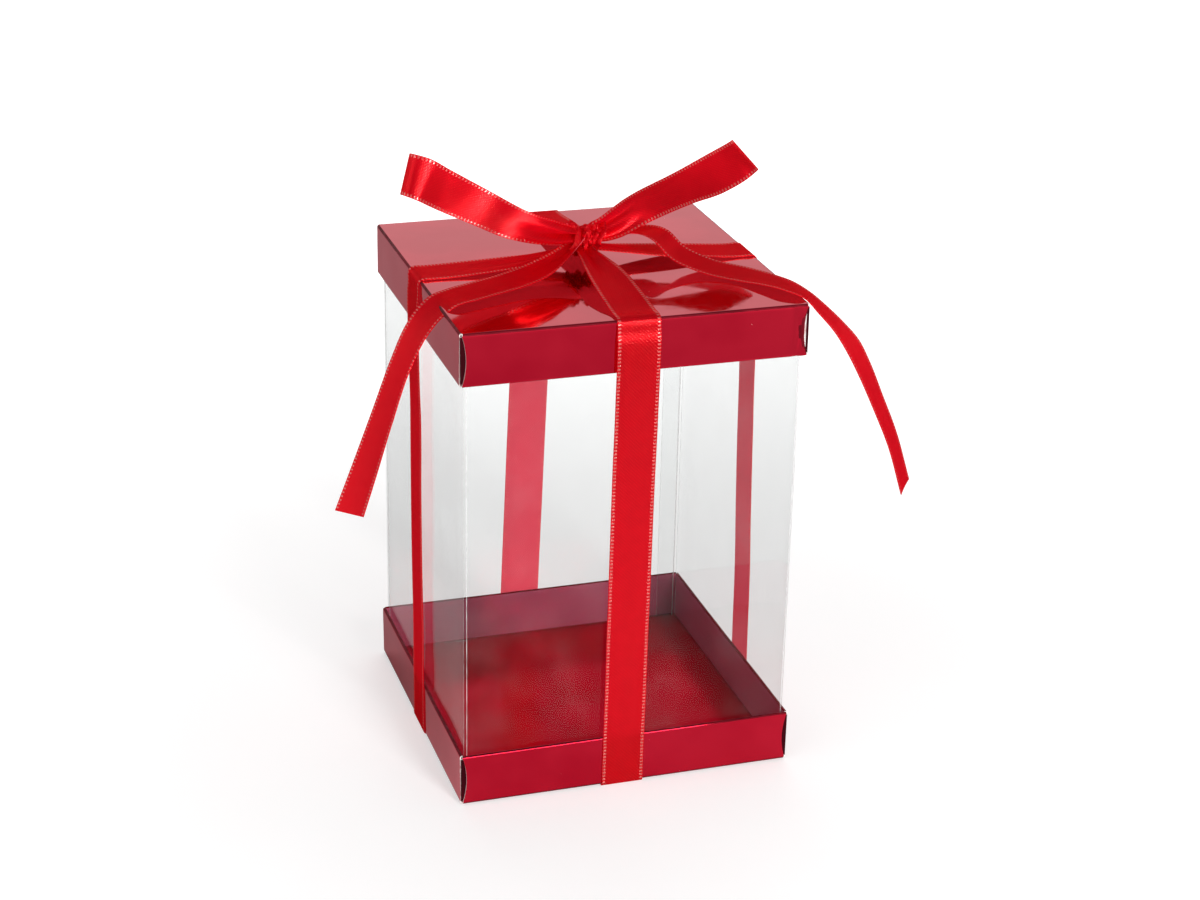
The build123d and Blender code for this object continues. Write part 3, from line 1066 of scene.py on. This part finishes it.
RIGHT_LOOP = (
    ((1.5, 150.6), (1.6, 156.0), -2.0, -1.4, 0.3, 1.0),
    ((5.5, 150.0), (4.8, 157.8), -2.2, 0.4, 0.6, 1.3),
    ((10.3, 150.6), (8.6, 160.2), -2.4, 3.0, 0.8, 0.9),
    ((19.6, 154.8), (14.6, 163.8), -2.4, 7.8, 0.6, 0.0),
    ((32.3, 159.3), (26.8, 169.1), 3.8, 14.2, 0.3, 0.0),
    ((42.6, 162.2), (36.2, 173.7), 9.2, 17.4, 0.1, 0.0),
    ((48.9, 165.4), (40.8, 175.9), 11.4, 19.4, 0.1, 0.0),
    ((51.6, 167.4), (43.2, 177.1), 12.4, 21.4, 0.0, 0.0),
    ((52.4, 168.2), (43.9, 177.6), 14.2, 23.4, 0.0, 0.0),
)
RIGHT_BACK = (
    (0.1, 0.93, 16.6, 26.6),
    (0.12, 0.9, 16.8, 26.8),
    (0.16, 0.88, 15.6, 25.8),
    (0.22, 0.88, 11.8, 22.4),
    (0.3, 0.9, 6.6, 15.4),
    (0.3, 0.9, 3.6, 7.4),
    (0.15, 0.9, 2.2, 3.4),
    (0.05, 0.9, 1.6, 1.4),
)


def bow_loop(name, front, back, node, flip):
    rows = []
    for low, high, low_depth, high_depth, arch, pleat in front:
        rows.append((seen(*low, low_depth), seen(*high, high_depth), arch, pleat))
    for (low, high, _, _, arch, pleat), hidden in zip(reversed(front[:-1]), back):
        low_share, high_share, low_depth, high_depth = hidden
        under, over = (Vector(low).lerp(Vector(high), share) for share in (low_share, high_share))
        rows.append((seen(*under, low_depth), seen(*over, high_depth), arch, pleat))
    piece, length = strip(name, rows, folds=2.0, phase=0.8, flip=flip)
    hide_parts(node)
    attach(piece, "lid")


bow_loop("bow_left_loop", LEFT_LOOP, LEFT_BACK, "ribbon_left_loop", True)
bow_loop("bow_right_loop", RIGHT_LOOP, RIGHT_BACK, "ribbon_right_loop", False)

# Tails: run along the plan line from the knot, sideways shift, height over the lid, width, roll in
# degrees, arch and pleats
LEFT_TAIL = (
    (3.2, 1.0, 8.6, 5.0, 20, 1.6, 0.3),
    (7.5, 2.2, 7.4, 6.4, 14, 1.6, 0.3),
    (13, 3.2, 5.6, 8.6, 8, 1.4, 0.2),
    (21, 3.8, 3.4, 11.6, 2, 0.8, 0.0),
    (30, 3.6, 2.1, 12.4, 0, 0.3, 0.0),
    (40, 3.2, 1.7, WIDTH, 0, 0.1, 0.0),
    (48, 2.9, 1.5, WIDTH, 0, 0.2, 0.0),
    (54.5, 2.5, 0.9, WIDTH, 3, 0.4, 0.0),
    (59.5, 2.1, -1.9, WIDTH, 7, 0.5, 0.0),
    (63.6, 1.7, -6.2, WIDTH, 11, 0.5, 0.0),
    (68.2, 1.2, -14.0, WIDTH, 14, 0.5, 0.0),
    (75.0, 0.8, -29.0, WIDTH, 12, 0.4, 0.0),
    (81.0, 0.4, -43.0, WIDTH, 7, 0.3, 0.0),
    (86.1, 0.0, -54.6, WIDTH, 2, 0.3, 0.0),
)
RIGHT_TAIL = (
    (1.2, 1.6, 7.0, 5.0, 0, 0.8, 0.4),
    (6.5, 7.0, 8.2, 6.6, 0, 0.9, 0.3),
    (12.8, 11.3, 8.4, 9.4, 0, 0.8, 0.15),
    (20.5, 7.8, 8.3, 11.6, 0, 0.5, 0.0),
    (25.8, 6.4, 4.7, 12.4, 0, 0.3, 0.0),
    (33.8, 7.0, 1.7, WIDTH, 0, 0.2, 0.0),
    (46.6, 6.0, 0.7, WIDTH, 0, 0.1, 0.0),
    (54.0, 3.6, 1.0, WIDTH, -4, 0.1, 0.0),
    (61.2, 0.8, 0.9, WIDTH, -8, 0.2, 0.0),
    (67.5, -0.5, -0.9, WIDTH, -13, 0.4, 0.0),
    (71.1, 0.0, -4.1, WIDTH, -10, 0.4, 0.0),
    (76.0, 0.0, -8.4, WIDTH, -7, 0.3, 0.0),
    (81.0, 0.0, -14.2, WIDTH, -1, 0.3, 0.0),
    (84.2, 0.0, -19.7, WIDTH, -1, 0.3, 0.0),
    (88.9, 0.0, -29.3, WIDTH, -3, 0.3, 0.0),
    (93.6, 0.0, -39.5, WIDTH, -4, 0.3, 0.0),
    (98.4, 0.0, -53.8, WIDTH, -4, 0.2, 0.0),
)


def bow_tail(name, angle, route, node, slant=0.0):
    """A tail along a plan line from the knot. Its end may be cut at a slant."""
    turn = radians(angle)
    along = Vector((cos(turn), sin(turn), 0))
    across = Vector((-sin(turn), cos(turn), 0))
    middles = [along * row[0] + across * row[1] + Vector((0, 0, LID_TOP + row[2])) for row in route]
    rows = []
    for i, (_, _, _, width, roll, arch, pleat) in enumerate(route):
        ahead = middles[min(i + 1, len(route) - 1)] - middles[max(0, i - 1)]
        turned = Matrix.Rotation(radians(roll), 3, ahead.normalized()) @ across
        if i == len(route) - 1:
            turned -= slant * ahead.normalized()
        rows.append(edges(middles[i], turned, width, -arch, pleat))
    piece, length = strip(name, rows, folds=1.5, phase=0.4)
    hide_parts(node)
    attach(piece, "lid")


bow_tail("bow_left_tail", 205.0, LEFT_TAIL, "ribbon_left_tail", 0.17)
bow_tail("bow_right_tail", 322.0, RIGHT_TAIL, "ribbon_right_tail")


# Knot: the wrap that goes a turn and a half round the roots of the loops
def knot():
    centre = Vector((-0.6, -0.3, LID_TOP + 7.6))
    steps = 36
    first_angle, sweep = -130, 560
    squash = 0.95
    arch = 0.9
    rows = []
    for step in range(steps + 1):
        share = step / steps
        angle = radians(first_angle + sweep * share)
        reach = 3.9 + 0.9 * share + 0.5 * wobble(step / 2.9, 4.2)
        shift = -2.8 + 5.0 * share + 0.9 * sin(2 * angle)
        middle = centre + Vector((shift, -squash * reach * cos(angle), squash * reach * sin(angle)))
        across = Vector((1.0, 0.35 * sin(angle + 0.6), 0.45 * cos(angle + 0.5)))
        width = 6.6 + 1.6 * wobble(step / 2.7, 9.1)
        pleat = 0.8 + 0.3 * wobble(step / 1.9, 2.2)
        rows.append(edges(middle, across, width, arch, pleat))
    piece, length = strip(
        "bow_knot", rows, folds=2.5, phase=0.5, span=(0.12, 0.88), step=0.5, cells=40, crumple=1.3, flip=True
    )
    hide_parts("ribbon_knot")
    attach(piece, "lid")


knot()


# Stage: a white floor that keeps the shadow, soft lamps and a pale surround
def seen_rays(tree):
    path = add_node(tree, "ShaderNodeLightPath").outputs
    direct = calc(tree, "ADD", path["Is Camera Ray"], path["Is Transmission Ray"], clamp=True)
    return direct, path["Is Glossy Ray"]


def floor_material():
    """A grey floor that glows white where it is looked at, more so away from the box. In mirrors it
    glows only in front of the box."""
    grey = (0.58, 0.575, 0.575)
    made, tree = new_material("floor_white")
    direct, glossy = seen_rays(tree)
    place = add_node(tree, "ShaderNodeTexCoord").outputs["Object"]
    away = add_node(tree, "ShaderNodeVectorMath", {0: place}, operation="LENGTH").outputs["Value"]
    depth = add_node(tree, "ShaderNodeSeparateXYZ", {0: place}).outputs[1]
    seen_glow = times(tree, direct, band(tree, away, 0.1, 0.4, 0.5, 0.85))
    in_front = band(tree, depth, -0.08, 0.05, 1.0, 0.0)
    near = times(tree, in_front, band(tree, depth, -0.36, -0.1, 0.14, 0.42))
    glow = plus(tree, seen_glow, times(tree, glossy, near))
    matt = plain_shader(tree, "ShaderNodeBsdfDiffuse", grey)
    light = add_node(tree, "ShaderNodeEmission", {"Color": (*WHITE, 1.0), "Strength": glow})
    both = add_node(tree, "ShaderNodeAddShader", {0: matt, 1: light.outputs[0]})
    show(tree, both.outputs[0])
    return made


def stage():
    size = 6.0
    corners = [(-size, -size, 0), (size, -size, 0), (size, size, 0), (-size, size, 0)]
    mesh = bpy.data.meshes.new("floor")
    mesh.from_pydata(corners, [], [(0, 1, 2, 3)])
    mesh.materials.append(floor_material())
    floor = bpy.data.objects.new("floor", mesh)
    bpy.context.scene.collection.objects.link(floor)

    dim = 0.24
    world = bpy.data.worlds.new("surround")
    bpy.context.scene.world = world
    world.use_nodes = True
    tree = world.node_tree
    tree.nodes.clear()
    direct, glossy = seen_rays(tree)
    way = add_node(tree, "ShaderNodeTexCoord").outputs["Generated"]
    split = add_node(tree, "ShaderNodeSeparateXYZ", {0: way})
    low = band(tree, split.outputs[2], 0.47, 0.6, 1.0, 0.0)
    behind = times(tree, low, band(tree, split.outputs[1], -0.1, 0.3))
    mirrored = times(tree, glossy, band(tree, behind, 0.0, 1.0, dim, 1.0))
    strength = calc(tree, "MAXIMUM", calc(tree, "MAXIMUM", direct, mirrored), dim)
    light = add_node(tree, "ShaderNodeBackground", {"Color": (*WHITE, 1.0), "Strength": strength})
    add_node(tree, "ShaderNodeOutputWorld", {"Surface": light.outputs[0]})


def lamp(name, place, width, height, power, mirrored=True):
    """A soft box aimed at the middle of the favour box."""
    target = Vector((0.0, 0.0, 0.09))
    data = bpy.data.lights.new(name, "AREA")
    data.shape = "RECTANGLE"
    data.size, data.size_y, data.energy = width, height, power
    made = bpy.data.objects.new(name, data)
    made.location = place
    made.rotation_euler = (target - Vector(place)).to_track_quat("-Z", "Y").to_euler()
    made.visible_glossy = mirrored
    bpy.context.scene.collection.objects.link(made)


def camera():
    """The photo's camera, as fitted to the box's corners."""
    data = bpy.data.cameras.new("camera")
    data.sensor_width = 36.0
    data.lens = 73.626
    data.clip_start = 0.01
    made = bpy.data.objects.new("camera", data)
    right, up, ahead = (0.9535, -0.3008, 0.0197), (0.0990, 0.3743, 0.9220), (0.2847, 0.8772, -0.3867)
    turn = Matrix((right, up, [-v for v in ahead])).transposed()
    turn = turn.to_quaternion().normalized().to_matrix().to_4x4()
    made.matrix_world = Matrix.Translation(EYE * MM) @ turn
    bpy.context.scene.collection.objects.link(made)
    bpy.context.scene.camera = made


stage()
lamp("front_box", (0.3, -1.35, 0.55), width=0.32, height=0.9, power=18.0)
lamp("left_box", (-1.3, -0.5, 0.7), width=1.4, height=1.4, power=8.0)
lamp("back_box", (0.6, 0.8, 1.5), width=1.8, height=1.8, power=9.0, mirrored=False)
lamp("rim_box", (0.2, 1.3, 0.45), width=1.2, height=0.7, power=7.0, mirrored=False)
camera()
bpy.context.scene.view_settings.view_transform = "Standard"
bpy.context.scene.cycles.max_bounces = 16
bpy.context.scene.cycles.glossy_bounces = 8
bpy.context.scene.cycles.transparent_max_bounces = 48
